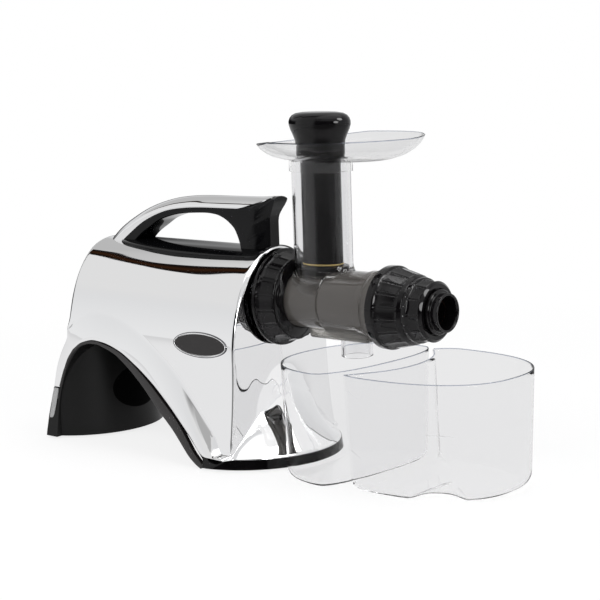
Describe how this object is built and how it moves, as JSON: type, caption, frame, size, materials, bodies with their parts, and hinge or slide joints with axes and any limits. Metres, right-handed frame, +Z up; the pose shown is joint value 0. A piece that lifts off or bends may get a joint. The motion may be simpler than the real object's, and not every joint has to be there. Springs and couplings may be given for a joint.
{
  "type": "cold press juicer",
  "caption": "Horizontal cold press juicer with a mirror-finish body, black carrying handle, front drum with a feed chute, tray and pusher, and two clear bins",
  "frame": {"origin": "on the worktop under the drive axis, below the housing's flat front face", "axes": "+X along the drive axis from the motor towards the pulp nozzle, +Z up, -Y towards the side the picture was taken from"},
  "size_m": [0.617, 0.206, 0.394],
  "materials": {
    "chrome_shell": "mirror polished",
    "black_plastic": "glossy moulded",
    "matte_black": "satin moulded",
    "smoke_plastic": "smoky clear, glossy",
    "clear_plastic": "clear, glossy",
    "badge_face": "glossy",
    "rubber": "matt",
    "silicone": "soft satin",
    "amber_seal": "soft satin",
    "bright_steel": "bright",
    "cast_alloy": "as cast",
    "lamination": "varnished",
    "winding": "enamelled wire",
    "bronze": "sintered",
    "gear_nylon": "satin",
    "ultem": "amber, glossy",
    "board": "satin",
    "ivory": "satin"
  },
  "bodies": {
    "housing": {"housing_shell": "chrome_shell", "tunnel_liner": "matte_black", "front_foot": "black_plastic", "rear_foot": "matte_black", "rubber_pads": "rubber", "foot_screws": "bright_steel", "handle_body": "black_plastic", "handle_cap": "chrome_shell", "handle_screws": "bright_steel", "badge_plates": "badge_face", "badge_rims": "chrome_shell", "rear_vent": "matte_black", "switch_frame": "matte_black", "cord_gland": "rubber", "control_board": "board", "run_capacitor": "ivory", "hub_collar": "cast_alloy", "hub_seal": "silicone", "gearbox_case": "cast_alloy", "gearbox_cover": "cast_alloy", "gearbox_screws": "bright_steel", "front_bearing": "bright_steel", "shaft_bush": "bronze", "mid_axle": "bright_steel", "motor_stack": "lamination", "motor_coils": "winding", "motor_brackets": "cast_alloy", "motor_bushes": "bronze", "tie_bolts": "bright_steel", "motor_cradle": "rubber"},
    "rocker": {"switch_rocker": "black_plastic"},
    "rotor": {"motor_rotor": "lamination", "motor_shaft": "bright_steel", "cooling_fan": "matte_black"},
    "mid_gear": {"mid_gear": "gear_nylon"},
    "drive": {"drive_shaft": "bright_steel", "output_gear": "gear_nylon"},
    "drum": {"drum": "smoke_plastic", "drum_gasket": "silicone", "feed_chute": "clear_plastic", "juice_spout": "clear_plastic", "juicing_screen": "bright_steel"},
    "auger": {"auger": "ultem", "auger_socket": "matte_black"},
    "ring": {"locking_ring": "black_plastic"},
    "cap": {"end_cap": "black_plastic", "cap_gasket": "silicone"},
    "dial": {"adjusting_dial": "black_plastic"},
    "nozzle": {"pulp_nozzle": "black_plastic", "nozzle_gasket": "silicone"},
    "tray": {"tray": "clear_plastic"},
    "pusher": {"pusher": "black_plastic", "pusher_seal": "amber_seal"},
    "juice_bin": {"juice_bin": "clear_plastic"},
    "pulp_bin": {"pulp_bin": "clear_plastic"}
  },
  "joints": [
    {"name": "drive_spin", "type": "hinge", "parent": "housing", "child": "drive", "pos_m": [0, 0, 0.185], "axis": [1, 0, 0], "continuous": true},
    {"name": "mid_gear_spin", "type": "hinge", "parent": "housing", "child": "mid_gear", "pos_m": [0, 0, 0.14625], "axis": [1, 0, 0], "continuous": true},
    {"name": "rotor_spin", "type": "hinge", "parent": "housing", "child": "rotor", "pos_m": [0, 0, 0.17225], "axis": [1, 0, 0], "continuous": true},
    {"name": "switch_rock", "type": "hinge", "parent": "housing", "child": "rocker", "pos_m": [-0.265, 0, 0.185], "axis": [0, 1, 0], "range_deg": [-12, 12]},
    {"name": "drum_slide", "type": "slide", "parent": "housing", "child": "drum", "axis": [1, 0, 0], "range_m": [0, 0.08]},
    {"name": "auger_spin", "type": "hinge", "parent": "drum", "child": "auger", "pos_m": [0, 0, 0.185], "axis": [1, 0, 0], "continuous": true},
    {"name": "ring_turn", "type": "hinge", "parent": "drum", "child": "ring", "pos_m": [0, 0, 0.185], "axis": [1, 0, 0], "range_deg": [0, 35]},
    {"name": "cap_turn", "type": "hinge", "parent": "drum", "child": "cap", "pos_m": [0, 0, 0.185], "axis": [-1, 0, 0], "range_deg": [0, 30]},
    {"name": "dial_turn", "type": "hinge", "parent": "cap", "child": "dial", "pos_m": [0, 0, 0.185], "axis": [1, 0, 0], "range_deg": [0, 144]},
    {"name": "nozzle_travel", "type": "slide", "parent": "cap", "child": "nozzle", "axis": [1, 0, 0], "range_m": [0, 0.004]},
    {"name": "tray_lift", "type": "slide", "parent": "drum", "child": "tray", "axis": [0, 0, 1], "range_m": [0, 0.06]},
    {"name": "pusher_slide", "type": "slide", "parent": "tray", "child": "pusher", "axis": [0, 0, 1], "range_m": [0, 0.14]},
    {"name": "juice_bin_slide", "type": "slide", "parent": "housing", "child": "juice_bin", "axis": [1, 0, 0], "range_m": [0, 0.15]},
    {"name": "pulp_bin_slide", "type": "slide", "parent": "juice_bin", "child": "pulp_bin", "axis": [1, 0, 0], "range_m": [0, 0.2]}
  ],
  "couplings": [
    {"joint": "mid_gear_spin", "follows": "drive_spin", "ratio": -4.1667},
    {"joint": "rotor_spin", "follows": "drive_spin", "ratio": 17.5},
    {"joint": "auger_spin", "follows": "drive_spin", "ratio": 1},
    {"joint": "nozzle_travel", "follows": "dial_turn", "m_per_rad": 0.0015915}
  ]
}
